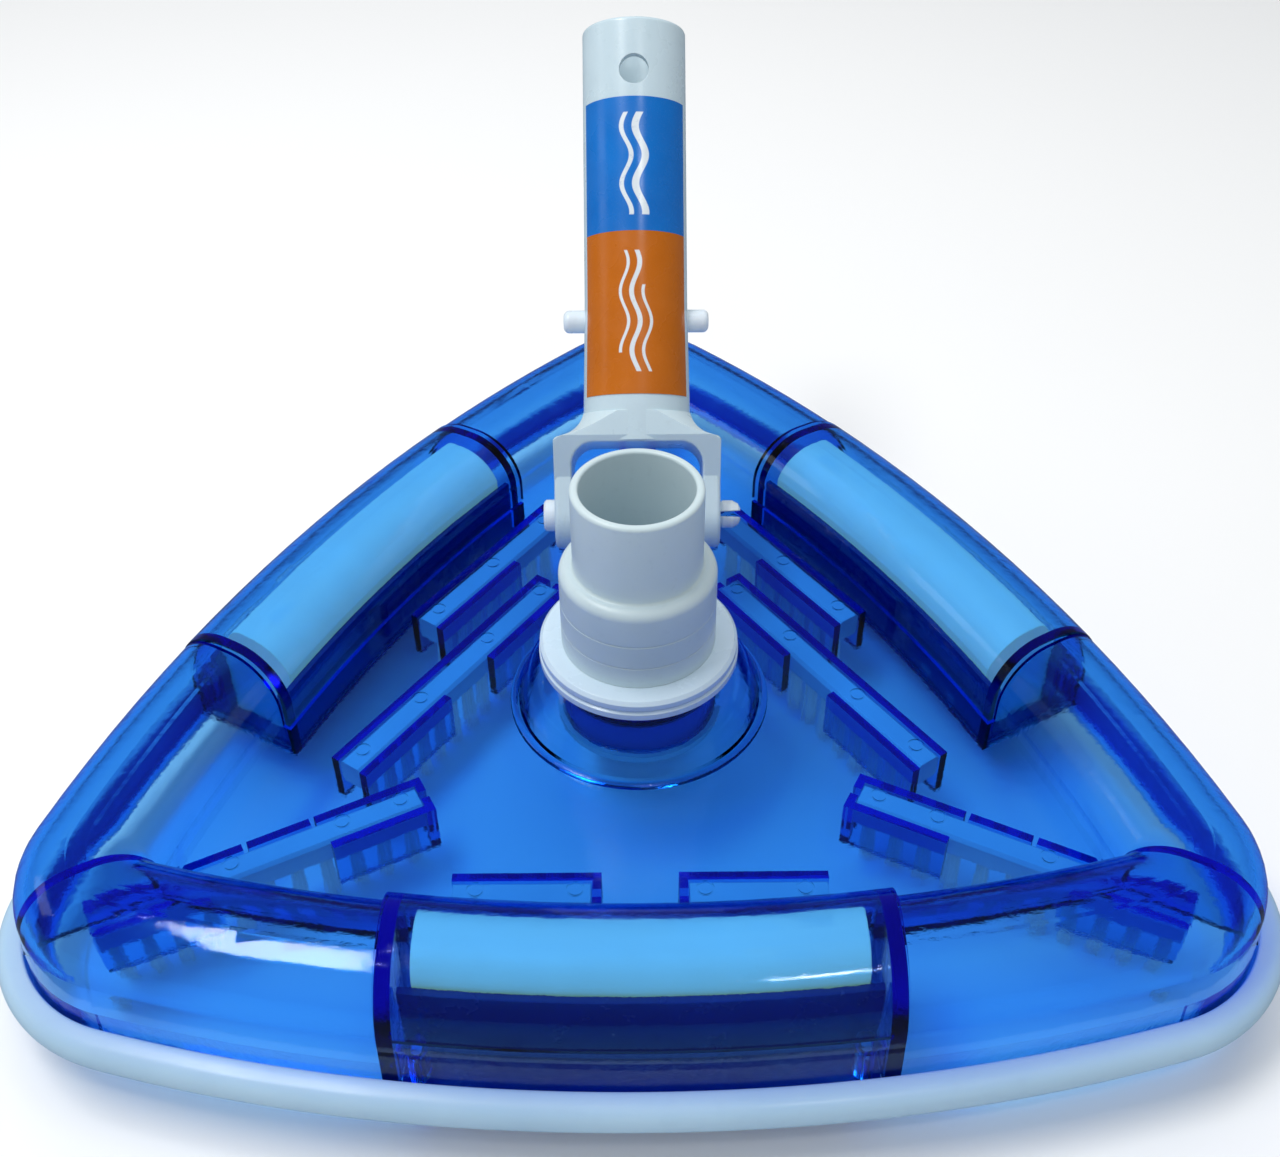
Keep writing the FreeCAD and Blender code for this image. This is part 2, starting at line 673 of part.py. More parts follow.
def build_cover(side, tag):
    """Plate with two long walls that hug the weight, and two countersunk screw holes."""
    inner, outer = dim.side_center + dim.cover_in, dim.side_center + dim.cover_out
    tray_in, tray_out = dim.side_center + dim.tray_in, dim.side_center + dim.tray_out
    tray_edge = tray_out + dim.tray_wall
    path = [(inner, dim.cover_z), (outer, dim.cover_z), (outer, cover_top),
            (tray_edge, cover_top), (tray_edge, dim.tray_out_z), (tray_out, dim.tray_out_z),
            (tray_out, cover_top), (tray_in, cover_top), (tray_in, dim.tray_in_z),
            (inner, dim.tray_in_z)]
    tray = swept("tray_" + tag, path, dim.cover_half)
    holes = []
    for i, x in enumerate((-SCREW_X, SCREW_X)):
        spot = place(x, SCREW_Y, 0)
        holes.append(doc_cylinder("cover_hole_%s_%d" % (tag, i), dim.screw_r + 0.25, 20.0, spot))
        holes.append(doc_cylinder("cover_sink_%s_%d" % (tag, i), dim.screw_head_r + 0.2,
                                  head_top, spot))
    cover = boolean("Cut", "cover_" + tag,
                    [tray, boolean("Fuse", "cover_holes_" + tag, holes)])
    to_side(cover, side)
    node(cover, "weight_cover_" + tag)


def make_screw(side, tag, x):
    """Screw from below with a cross recess in its head."""
    shank = doc_cylinder("screw_shank_" + tag, dim.screw_r, dim.screw_len,
                         place(x, SCREW_Y, head_top - 0.5))
    head = doc_cylinder("screw_head_" + tag, dim.screw_head_r, head_height,
                        place(x, SCREW_Y, dim.cover_z))
    slots = []
    for prefix, length, width in (("screw_slot_", 2.8, 0.7), ("screw_slotb_", 0.7, 2.8)):
        corner = place(x - length / 2, SCREW_Y - width / 2, dim.cover_z - 0.1)
        slots.append(doc_box(prefix + tag, length, width, 0.7, corner))
    blank = boolean("Fuse", "screw_raw_" + tag, [shank, head])
    screw = boolean("Cut", "screw_" + tag,
                    [blank, boolean("Fuse", "screw_cross_" + tag, slots)])
    to_side(screw, side)
    return screw


def build_screws():
    group = doc.addObject("Part::Compound", "cover_screw_set")
    group.Links = [make_screw(side, "%s_%d" % (tag, sign), sign * SCREW_X)
                   for side, tag in SIDES.items() for sign in (-1, 1)]
    doc.recompute()
    node(group, "cover_screws")


# ---------------------------------------------------------------- brush bars and bristle blocks
BAR_END_GAP = 0.4           # at the end of the bar away from the rail's stop
TUFT_SHORTER = 5.2          # how much shorter the bristle block is than its rail


def build_brush(name):
    start, length, angle = rail_frame(name)
    half, bottom, top = dim.bar_width / 2, dim.bar_bottom, deck_bottom - 0.05
    bevel = 0.9
    path = [(-half, top - bevel), (-half, bottom + 1.2), (-half + 0.7, bottom),
            (half - 0.7, bottom), (half, bottom + 1.2), (half, top - bevel),
            (half - bevel, top), (-half + bevel, top)]
    gaps = (dim.bar_inset, BAR_END_GAP)
    start_gap, end_gap = gaps if stops_at_start(name) else gaps[::-1]
    bar = pad_body("bar_" + name, "YZ_Plane", path, length - start_gap - end_gap)
    middle = start + unit(angle) * ((length + start_gap - end_gap) / 2)
    bar.Placement = place(middle.x, middle.y, deg=angle)
    node(bar, "brush_bar_" + name)

    tuft_length = length - TUFT_SHORTER
    corner = (middle - unit(angle) * (tuft_length / 2)
              - unit(angle + 90) * (dim.tuft_width / 2))
    tufts = doc_box("tufts_" + name, tuft_length, dim.tuft_width,
                    dim.bar_bottom - 0.05 - dim.tuft_bottom,
                    place(corner.x, corner.y, dim.tuft_bottom, deg=angle))
    node(tufts, "bristles_" + name)


# ---------------------------------------------------------------- hose swivel
def build_hose_swivel():
    """Journal with two ring grooves, a step with two fine lines, and the hose pipe."""
    bore, journal, step, pipe = dim.spigot_bore, dim.journal_r, dim.step_r, dim.pipe_r
    bottom, step_top, top = dim.spigot_bottom, dim.step_top, dim.pipe_top
    path = [(bore + 0.6, bottom), (journal - 0.8, bottom), (journal, bottom + 0.8)]
    for low, high, floor in (
            (dim.retainer_bottom - 0.05, dim.retainer_top + 0.05, dim.retainer_groove),
            (dim.seal_z - 1.1, dim.seal_z + 1.1, dim.seal_groove)):
        path += [(journal, low), (floor, low), (floor, high), (journal, high)]
    path += [(journal, dim.collar_top), (step, dim.collar_top)]
    line_depth = 0.16
    for z in (41.0, 48.0):
        path += [(step, z), (step - line_depth, z + 0.15), (step - line_depth, z + 0.35),
                 (step, z + 0.5)]
    path += [
        (step, step_top - 2.6), (step - 2.6, step_top, step - 2.6, step_top - 2.6, 2.6),
        (pipe + 0.7, step_top), (pipe, step_top + 0.7, pipe + 0.7, step_top + 0.7, 0.7),
        (pipe, top - 1.0), (pipe - 1.0, top, pipe - 1.0, top - 1.0, 1.0),
        (bore + 0.7, top), (bore, top - 0.7, bore + 0.7, top - 0.7, 0.7),
        (bore, bottom + 0.6)]
    node(revolve_body("hose_swivel", path), "hose_swivel")


def build_collar():
    inner, outer = dim.journal_r + 0.02, dim.collar_r
    bottom, top = dim.collar_bottom, dim.collar_top
    middle = (bottom + top) / 2
    path = [(inner, bottom), (outer - 0.9, bottom), (outer, bottom + 0.9),
            (outer, middle - 0.5), (outer - 0.8, middle), (outer - 0.8, middle + 0.4),
            (outer - 0.25, middle + 0.7), (outer - 0.25, top - 0.95),
            (outer - 1.1, top - 0.05), (inner, top - 0.05)]
    node(revolve_body("swivel_collar", path), "swivel_collar")


def build_seal():
    seal = doc.addObject("Part::Torus", "SealRing")
    bind(seal, Radius1=dim.seal_major, Radius2=dim.seal_minor)
    seal.setExpression("Placement.Base.z", formula_of(dim.seal_z))
    node(seal, "swivel_seal")


def build_retainer():
    """Flat ring in the journal's lower groove, open at +X."""
    disc = doc_cylinder("RetainerDisc", dim.retainer_r,
                        dim.retainer_top - dim.retainer_bottom, place())
    disc.setExpression("Placement.Base.z", formula_of(dim.retainer_bottom))
    hole = doc_cylinder("RetainerHole", dim.retainer_groove + 0.02, 40.0, place())
    gap = doc_box("RetainerGap", 40.0, 5.0, 40.0, place(y=-2.5))
    opening = boolean("Fuse", "RetainerOpen", [hole, gap])
    node(boolean("Cut", "Retainer", [disc, opening]), "swivel_retainer")


# ---------------------------------------------------------------- handle yoke
# The handle's pieces are modelled upright about the pivot, then leaned towards +Y.
LEAN = place(0, dim.pivot_y, dim.pivot_z, X_AXIS, -dim.handle_lean)
SHOULDER_R, WINDOW_R = 1.4, 6.0
FLARE_R, ENVELOPE_R = 7.6, 15.0
DRAFT_START, DRAFT_END = dim.neck_s + 2.0, dim.button_s + 4.0


def arc_centre(start, end, radius):
    """Centre of the short arc between two points, on the right of the way from start to end."""
    run_x, run_z = end[0] - start[0], end[1] - start[1]
    chord = math.hypot(run_x, run_z)
    reach = math.sqrt(radius ** 2 - (chord / 2) ** 2) / chord
    return ((start[0] + end[0]) / 2 + run_z * reach, (start[1] + end[1]) / 2 - run_x * reach)


def fork_front():
    """Front silhouette: two legs, square shoulders and a concave flare into the tube."""
    half, gap, foot = dim.fork_half, dim.fork_gap_half, -dim.leg_round
    shoulder, window = dim.shoulder_s, dim.window_top
    corner_x, corner_z = half - SHOULDER_R, shoulder - SHOULDER_R
    neck_x, neck_z = dim.tube_r - 0.05, dim.neck_s + 0.5
    window_x, window_z = gap - WINDOW_R, window - WINDOW_R
    flare_x, flare_z = arc_centre((corner_x, shoulder), (neck_x, neck_z), FLARE_R)
    path = [(-half, foot), (-half, corner_z),
            (-corner_x, shoulder, -corner_x, corner_z, SHOULDER_R),
            (-neck_x, neck_z, -flare_x, flare_z, FLARE_R), (neck_x, neck_z),
            (corner_x, shoulder, flare_x, flare_z, FLARE_R),
            (half, corner_z, corner_x, corner_z, SHOULDER_R),
            (half, foot), (gap, foot), (gap, window_z),
            (window_x, window, window_x, window_z, WINDOW_R), (-window_x, window),
            (-gap, window_z, -window_x, window_z, WINDOW_R), (-gap, foot)]
    return extruded("fork_front", free_sketch("fork_front_sketch", "XZ", path), Y_AXIS, 60.0)


def fork_side():
    """Side silhouette: legs rounded about the pivot, widening to the tube."""
    leg, neck, tube = dim.leg_round, dim.neck_s, dim.tube_r - 0.2
    path = [(-leg, 0.0), (-leg, 10.0), (-tube, neck - 6.0), (-tube, neck + 2.0),
            (tube, neck + 2.0), (tube, neck - 6.0), (leg, 10.0), (leg, 0.0),
            (0.0, -leg, 0.0, 0.0, leg), (-leg, 0.0, 0.0, 0.0, leg)]
    return extruded("fork_side", free_sketch("fork_side_sketch", "YZ", path), X_AXIS, 80.0)


def fork_envelope():
    """Round envelope that blends the square shoulders into the tube."""
    low, high = (24.6, dim.shoulder_s + 0.2), (dim.tube_r, dim.neck_s + 1.6)
    top = dim.neck_s + 6.0
    path = [(0.0, -20.0), (34.0, -20.0), (34.0, 11.0), low,
            (*high, *arc_centre(low, high, ENVELOPE_R), ENVELOPE_R),
            (dim.tube_r, top), (0.0, top)]
    return turned("fork_envelope", free_sketch("fork_envelope_sketch", "XZ", path))


def pole_tube():
    """Slight draft up to the latch buttons, then a constant diameter."""
    grip, root, end = dim.grip_r, dim.window_top + 0.4, dim.tube_end
    path = [(0.0, root), (dim.tube_r - 0.02, root), (dim.tube_r, DRAFT_START),
            (grip, DRAFT_END), (grip, end - 1.0),
            (grip - 1.0, end, grip - 1.0, end - 1.0, 1.0), (0.0, end)]
    return turned("tube", free_sketch("tube_sketch", "XZ", path))


def yoke_tools():
    """Pole bore, button hole and pin hole along X, and a cross hole along Y."""
    bore, floor, end = dim.tube_bore, dim.bore_floor, dim.tube_end
    path = [(0.0, floor), (bore - 2.5, floor), (bore, floor + 2.5, bore - 2.5, floor + 2.5, 2.5),
            (bore, end - 0.6), (bore + 0.6, end), (bore + 0.6, end + 3.0), (0.0, end + 3.0)]
    return boolean("Fuse", "yoke_tools", [
        turned("tube_bore_tool", free_sketch("bore_sketch", "XZ", path)),
        doc_cylinder("button_hole_tool", dim.button_hole_r, 60.0,
                     place(-30, 0, dim.button_s, Y_AXIS, 90)),
        doc_cylinder("cross_hole_tool", dim.cross_r, 60.0,
                     place(0, 30, dim.cross_s, X_AXIS, 90)),
        doc_cylinder("pin_hole_tool", dim.pin_r + dim.pin_clear, 60.0,
                     place(-30, 0, 0, Y_AXIS, 90))])


def fork_edge_radius(edge):
    """Round for an edge in the fork's outer or inner side planes; 0 leaves it sharp."""
    bounds = edge.BoundBox
    if bounds.ZMax > dim.shoulder_s + 0.2 or edge.Length < 2.0:
        return 0
    pin_hole = (bounds.XLength < 0.01
                and bounds.ZLength < 2 * (dim.pin_r + dim.pin_clear) + 0.01
                and abs(bounds.ZMax + bounds.ZMin) < 0.05)
    if pin_hole:
        return 0
    for plane_x, radius in ((dim.fork_half, 1.2), (dim.fork_gap_half, 0.6)):
        if all(abs(abs(x) - plane_x) < 0.02 for x in (bounds.XMin, bounds.XMax)):
            return radius
    return 0


def takes_round(shape, edge, radius):
    # makeFillet raises on an edge that cannot take the round
    try:
        rounded = shape.makeFillet(radius, [edge])
        return rounded.isValid() and len(rounded.Solids) == 1 and rounded.Volume > 0
    except Exception:
        return False


def soften(base, name, radius_of):
    """Rounds the chosen edges, dropping the last ones until the fillet builds."""
    shape = base.Shape
    kept = []
    for index, edge in enumerate(shape.Edges, start=1):
        radius = radius_of(edge)
        if radius and takes_round(shape, edge, radius):
            kept.append((index, radius, radius))
    while kept:
        fillet = doc.addObject("Part::Fillet", name)
        fillet.Base = base
        fillet.Edges = kept
        doc.recompute()
        built = fillet.Shape
        if (not built.isNull() and built.isValid() and len(built.Solids) == 1
                and "Invalid" not in fillet.State):
            return fillet
        doc.removeObject(fillet.Name)
        kept = kept[:-1]
    return base


def build_yoke():
    fork = boolean("Common", "fork", [fork_front(), fork_side(), fork_envelope()])
    solid = boolean("Fuse", "yoke_solid", [fork, pole_tube()])
    pierced = boolean("Cut", "yoke_cut", [solid, yoke_tools()])
    yoke = soften(pierced, "handle_yoke_round", fork_edge_radius)
    yoke.Placement = LEAN
    node(yoke, "handle_yoke")


# ---------------------------------------------------------------- pin, latch and labels
def build_pin():
    """Pivot pin: flat head at -X, split snap prongs at +X. Drawn along Z, then laid along X."""
    radius, head_r, head, tail = dim.pin_r, dim.pin_head_r, -dim.pin_head_x, dim.pin_tail_x
    face = dim.fork_half + 0.05
    path = [(0.0, head), (head_r - 0.6, head), (head_r, head + 0.6), (head_r, -face),
            (radius, -face), (radius, face), (radius + 0.75, dim.fork_half + 0.9),
            (radius + 0.75, tail - 2.2), (radius - 0.1, tail - 0.6), (radius - 1.2, tail),
            (0.0, tail)]
    blank = turned("pin_turned", free_sketch("pin_sketch", "XZ", path))
    # the slot widens towards the tail
    slot = doc.addObject("Part::Wedge", "pin_slot")
    slot.Xmin, slot.Xmax, slot.X2min, slot.X2max = -0.45, 0.45, -0.95, 0.95
    slot.Ymin, slot.Ymax = 0.0, 11.0
    slot.Zmin, slot.Zmax, slot.Z2min, slot.Z2max = -8.0, 8.0, -8.0, 8.0
    slot.Placement = place(0, 0, tail - 10.0, X_AXIS, 90)
    pin = boolean("Cut", "pin", [blank, slot])
    pin.Placement = LEAN.multiply(place(axis=Y_AXIS, deg=90))
    node(pin, "pivot_pin")


def build_button(tag, direction):
    """Latch button with a rounded tip, pointing along X in the given direction."""
    radius, root, tip, nose = dim.button_r, dim.button_root, dim.button_tip, 1.6
    path = [(0.0, root), (radius, root), (radius, tip - nose),
            (radius - nose, tip, radius - nose, tip - nose, nose), (0.0, tip)]
    button = revolve_body("snap_button_" + tag, path)
    button.Placement = LEAN.multiply(place(0, 0, dim.button_s, Y_AXIS, 90.0 * direction))
    node(button, "snap_button_" + tag)


def build_spring():
    """V spring that pushes the buttons out."""
    outer, thick = dim.button_root - 0.05, dim.clip_thick
    inner = outer - thick
    top, bend, low = dim.button_s + 3.8, dim.button_s - 4.0, dim.bore_floor + 3.2
    inner_bend = dim.button_s - 3.9
    path = [(-outer, top), (-outer, bend), (-2.2, low + 0.7), (-0.9, low), (0.9, low),
            (2.2, low + 0.7), (outer, bend), (outer, top), (inner, top), (inner, inner_bend),
            (1.3, low + 1.5), (0.6, low + thick), (-0.6, low + thick), (-1.3, low + 1.5),
            (-inner, inner_bend), (-inner, top)]
    spring = pad_body("spring_clip", "XZ_Plane", path, dim.clip_width)
    spring.Placement = LEAN
    node(spring, "spring_clip")


def tube_radius(height):
    fraction = (height - DRAFT_START) / (DRAFT_END - DRAFT_START)
    return dim.tube_r + (dim.grip_r - dim.tube_r) * min(max(fraction, 0.0), 1.0)


def build_label(feature_name, node_name, bottom, top):
    """Thin wrap on the front of the tube, following its draft."""
    stops = [bottom] + [s for s in (DRAFT_START, DRAFT_END) if bottom < s < top] + [top]
    inner = [(tube_radius(s) + 0.03, s) for s in stops]
    outer = [(radius + dim.label_thick, s) for radius, s in reversed(inner)]
    face = section(inner + outer)
    face.rotate(ORIGIN, Z_AXIS, -90 - dim.label_half_deg)
    wrap = face.revolve(ORIGIN, Z_AXIS, 2 * dim.label_half_deg)
    label = feature(feature_name, wrap.Solids[0])
    label.Placement = LEAN
    node(label, node_name)


# ---------------------------------------------------------------- build
build_deck()
build_bumper()
for side, tag in SIDES.items():
    build_weight(side, tag)
    build_cover(side, tag)
build_screws()
for rail in RAILS:
    build_brush(rail)
build_hose_swivel()
build_collar()
build_seal()
build_retainer()
build_yoke()
build_pin()
build_button("left", -1)
build_button("right", 1)
build_spring()
build_label("LabelLower", "label_lower", dim.label_bottom, dim.label_split)
build_label("LabelUpper", "label_upper", dim.label_split + 0.02, dim.label_top)

# ---------------------------------------------------------------- checks and export
doc.recompute()
bad = [o.Name for o in doc.Objects if "Invalid" in o.State or "Error" in o.State]
if bad:
    sys.exit("failed objects: " + ", ".join(bad))
for name, obj in NODES:
    shape = obj.Shape
    if shape.isNull() or not shape.isValid() or not shape.Solids or shape.Volume <= 0:
        sys.exit("bad shape: " + name)
for name, obj in NODES:
    obj.Shape.exportStep("parts/%s.step" % name)
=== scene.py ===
"""A three-sided cleaning head with a clear blue shell, a vinyl bumper, brushes and weights,
and a tilting handle yoke that carries a tube with printed wraps.

It stands on the floor around the z axis, in metres, +Z up. One long side of the bumper
faces the front (-Y) and one rounded corner points to the back (+Y).
"""

import json
import math
import random

import bmesh
import bpy
from mathutils import Matrix, Vector


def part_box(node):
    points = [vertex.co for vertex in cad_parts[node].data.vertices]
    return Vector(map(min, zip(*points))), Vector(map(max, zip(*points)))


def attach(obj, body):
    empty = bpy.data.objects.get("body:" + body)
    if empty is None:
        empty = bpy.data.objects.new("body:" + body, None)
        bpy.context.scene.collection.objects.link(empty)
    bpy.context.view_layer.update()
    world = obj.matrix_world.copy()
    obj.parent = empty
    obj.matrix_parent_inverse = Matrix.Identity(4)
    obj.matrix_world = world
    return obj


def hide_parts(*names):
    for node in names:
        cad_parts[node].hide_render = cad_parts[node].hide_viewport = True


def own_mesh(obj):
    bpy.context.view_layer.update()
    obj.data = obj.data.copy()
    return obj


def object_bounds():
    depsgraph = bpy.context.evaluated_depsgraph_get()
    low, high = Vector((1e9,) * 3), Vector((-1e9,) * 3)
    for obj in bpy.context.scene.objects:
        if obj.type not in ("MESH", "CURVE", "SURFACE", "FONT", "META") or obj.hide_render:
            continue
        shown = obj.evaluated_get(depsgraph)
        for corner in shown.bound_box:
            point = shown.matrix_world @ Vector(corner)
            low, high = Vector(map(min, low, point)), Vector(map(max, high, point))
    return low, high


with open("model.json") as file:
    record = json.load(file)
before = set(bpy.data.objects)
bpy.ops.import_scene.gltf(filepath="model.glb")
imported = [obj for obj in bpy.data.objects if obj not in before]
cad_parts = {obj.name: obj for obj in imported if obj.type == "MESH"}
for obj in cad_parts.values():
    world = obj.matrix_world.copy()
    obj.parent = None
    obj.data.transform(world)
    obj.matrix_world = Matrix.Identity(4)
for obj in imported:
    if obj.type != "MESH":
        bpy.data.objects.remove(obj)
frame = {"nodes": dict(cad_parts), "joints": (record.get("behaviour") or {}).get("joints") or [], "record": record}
nodes = frame["nodes"]
cad_box = [list(map(float, v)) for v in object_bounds()]
scene = bpy.context.scene
random.seed(11)
MM = 0.001

# The handle tube: its tilt pivot, its long axis, and the directions square to it
pole = next(mount for mount in frame["record"]["mounts"] if mount["name"] == "pole_tube")
tilt = next(joint for joint in frame["joints"] if joint["name"] == "handle_tilt")
PIVOT = Vector(tilt["pos_m"])
AXIS = Vector(pole["axis"]).normalized()
ACROSS = Vector((1, 0, 0))
SQUARE = AXIS.cross(ACROSS).normalized()
FRONT = -SQUARE if SQUARE.y > 0 else SQUARE

# ------------------------------------------------------------------ material builder


class Finish:
    """A wrapper around a node tree, so that each material reads as a short recipe."""

    def __init__(self, name):
        self.material = bpy.data.materials.new(name)
        self.material.use_nodes = True
        self.tree = self.material.node_tree
        self.tree.nodes.clear()
        self.output = self.node("OutputMaterial")
        self.coords = self.node("TexCoord").outputs["Object"]

    def node(self, kind, inputs=None, **properties):
        """Add a node; inputs maps socket names or indices to sockets or plain values."""
        node = self.tree.nodes.new("ShaderNode" + kind)
        for key, value in properties.items():
            setattr(node, key, value)
        for key, value in (inputs or {}).items():
            self.put(node.inputs[key], value)
        return node

    def put(self, socket, value):
        if isinstance(value, bpy.types.NodeSocket):
            self.tree.links.new(value, socket)
        elif isinstance(value, tuple) and len(value) == 3 and socket.type == "RGBA":
            socket.default_value = (*value, 1)
        else:
            socket.default_value = value

    def math(self, operation, first, second=0.0, clamp=False):
        inputs = {0: first, 1: second, 2: 0.0}
        return self.node("Math", inputs, operation=operation, use_clamp=clamp).outputs[0]

    def plus(self, first, second):
        return self.math("ADD", first, second)

    def minus(self, first, second):
        return self.math("SUBTRACT", first, second)

    def times(self, first, second):
        return self.math("MULTIPLY", first, second)

    def noise(self, scale, detail=3.0, rough=0.5, vector=None, distortion=0.0):
        inputs = {"Scale": scale, "Detail": detail, "Roughness": rough,
                  "Distortion": distortion, "Vector": vector or self.coords}
        return self.node("TexNoise", inputs).outputs["Fac"]

    def stretch(self, scale, turn=(0, 0, 0)):
        inputs = {"Vector": self.coords, "Scale": scale, "Rotation": turn}
        return self.node("Mapping", inputs).outputs[0]

    def mix(self, factor, first, second):
        """Blend two colours."""
        # sockets 6 and 7 are the colour pair, output 2 the colour result
        inputs = {0: factor, 6: first, 7: second}
        return self.node("Mix", inputs, data_type="RGBA").outputs[2]

    def remap(self, value, span=(0.3, 0.7), to=(0.0, 1.0)):
        """Map the values in span onto to, clamped at both ends."""
        return self.node("MapRange", dict(enumerate((value, *span, *to)))).outputs[0]

    def bump(self, height, strength, distance, normal=None):
        inputs = {"Height": height, "Strength": strength, "Distance": distance}
        if normal is not None:
            inputs["Normal"] = normal
        return self.node("Bump", inputs).outputs[0]

    def bevel(self, radius):
        """A normal that rounds the edges in shading only."""
        return self.node("Bevel", {"Radius": radius}, samples=4).outputs[0]

    def surface(self, shader):
        self.tree.links.new(shader, self.output.inputs["Surface"])
        return self.material

    def principled(self, inputs):
        return self.surface(self.node("BsdfPrincipled", inputs).outputs[0])


def srgb(*channels):
    """Linear colour from 0-255 sRGB channels."""
    def linear(channel):
        channel /= 255.0
        return channel / 12.92 if channel <= 0.04045 else ((channel + 0.055) / 1.055) ** 2.4
    return tuple(linear(channel) for channel in channels)


# ------------------------------------------------------------------ finishes


def clear_blue():
    """Tinted clear acrylic: glass to the eye, but light passes straight through it,
    and absorption gives both the same tint."""
    mat = Finish("shell_blue")
    flow = mat.noise(scale=38.0, rough=0.55,
                     vector=mat.stretch(scale=(1.0, 1.6, 1.0), turn=(0, 0, 0.5)))
    ripple = mat.noise(scale=260.0, detail=4.0, rough=0.65, distortion=0.6,
                       vector=mat.stretch(scale=(1.0, 2.4, 1.0), turn=(0, 0, 0.6)))
    fine = mat.noise(scale=1500.0, detail=2.0)
    # height shares of the three waves
    height = mat.plus(mat.times(flow, 1.0), mat.times(ripple, 0.16))
    height = mat.plus(height, mat.times(fine, 0.004))
    normal = mat.bump(height, strength=0.22, distance=0.0009)
    rough = mat.remap(mat.noise(scale=90.0, detail=4.0, rough=0.6),
                      span=(0.35, 0.75), to=(0.012, 0.05))
    glass = mat.node("BsdfGlass", {"Color": (0.94, 0.975, 1.0), "Roughness": rough,
                                   "IOR": 1.47, "Normal": normal})
    clear = mat.node("BsdfTransparent", {"Color": (0.97, 0.985, 1.0)})
    rays = mat.node("LightPath").outputs
    passes = mat.math("MAXIMUM", rays["Is Shadow Ray"], rays["Is Diffuse Ray"])
    blend = mat.node("MixShader", {"Fac": passes, 1: glass.outputs[0], 2: clear.outputs[0]})
    tint = mat.node("VolumeAbsorption", {"Color": (0.016, 0.637, 0.955), "Density": 620.0})
    mat.put(mat.output.inputs["Volume"], tint.outputs[0])
    return mat.surface(blend.outputs[0])


def plastic(name, low, high, rough, peel, scatter=0.0, coat=0.0, bevel=0.00025):
    """Moulded plastic: colour drift from low to high, orange peel, soft edges and haze."""
    mat = Finish(name)
    drift = mat.noise(scale=28.0, rough=0.55)
    fleck = mat.noise(scale=420.0, detail=2.0)
    fleck_colour = (low[0] * 0.72, low[1] * 0.72, low[2] * 0.74)
    colour = mat.mix(mat.remap(drift), low, high)
    colour = mat.mix(mat.remap(fleck, span=(0.62, 0.8), to=(0.0, 0.16)), colour, fleck_colour)
    haze = mat.remap(mat.noise(scale=75.0, detail=4.0, rough=0.6),
                     span=(0.3, 0.75), to=(rough - 0.07, rough + 0.10))
    edge = mat.bevel(bevel)
    height = mat.plus(mat.noise(scale=900.0, detail=2.0),
                      mat.times(mat.noise(scale=55.0, detail=2.0), 1.6))
    inputs = {
        "Roughness": haze,
        "IOR": 1.5,
        "Base Color": colour,
        "Normal": mat.bump(height, strength=peel, distance=0.00016, normal=edge),
    }
    if scatter:
        inputs.update({
            "Subsurface Weight": scatter,
            "Subsurface Radius": (1.0, 0.9, 0.8),
            "Subsurface Scale": 0.0015,
        })
    if coat:
        inputs.update({"Coat Weight": coat, "Coat Roughness": 0.06})
    return mat.principled(inputs)


def vinyl():
    """Soft blue vinyl with fine lines around the ring."""
    mat = Finish("bumper_vinyl")
    drift = mat.noise(scale=14.0, rough=0.6)
    colour = mat.mix(mat.remap(drift), (0.39, 0.58, 0.76), (0.48, 0.68, 0.84))
    cloud = mat.noise(scale=160.0, detail=4.0, rough=0.6)
    colour = mat.mix(mat.remap(cloud, span=(0.55, 0.85), to=(0.0, 0.25)), colour,
                     (0.36, 0.52, 0.70))
    lines = mat.noise(scale=1.0, detail=2.0, vector=mat.stretch(scale=(12.0, 12.0, 2600.0)))
    height = mat.plus(mat.times(lines, 0.5), mat.noise(scale=500.0))
    normal = mat.bump(height, strength=0.10, distance=0.00018)
    return mat.principled({
        "IOR": 1.48,
        "Base Color": colour,
        "Roughness": mat.remap(mat.noise(scale=60.0, detail=4.0, rough=0.6),
                               span=(0.3, 0.75), to=(0.30, 0.48)),
        "Normal": normal,
        "Subsurface Weight": 0.35,
        "Subsurface Radius": (0.7, 0.9, 1.0),
        "Subsurface Scale": 0.003,
        "Coat Weight": 0.12,
        "Coat Roughness": 0.12,
    })


def steel():
    mat = Finish("screw_steel")
    turned = mat.noise(scale=900.0, detail=2.0, vector=mat.stretch(scale=(1.0, 1.0, 0.1)))
    return mat.principled({
        "Metallic": 1.0,
        "Base Color": mat.mix(mat.remap(mat.noise(scale=300.0)),
                              (0.50, 0.50, 0.49), (0.66, 0.66, 0.65)),
        "Roughness": mat.remap(turned, to=(0.22, 0.42)),
        "Normal": mat.bump(turned, strength=0.15, distance=0.00006,
                           normal=mat.bevel(0.0002)),
    })


def rubber():
    mat = Finish("seal_rubber")
    return mat.principled({
        "IOR": 1.5,
        "Base Color": mat.mix(mat.noise(scale=200.0),
                              (0.012, 0.012, 0.013), (0.03, 0.03, 0.031)),
        "Roughness": mat.remap(mat.noise(scale=120.0), to=(0.55, 0.8)),
        "Normal": mat.bump(mat.noise(scale=1600.0, detail=2.0),
                           strength=0.2, distance=0.00008),
    })


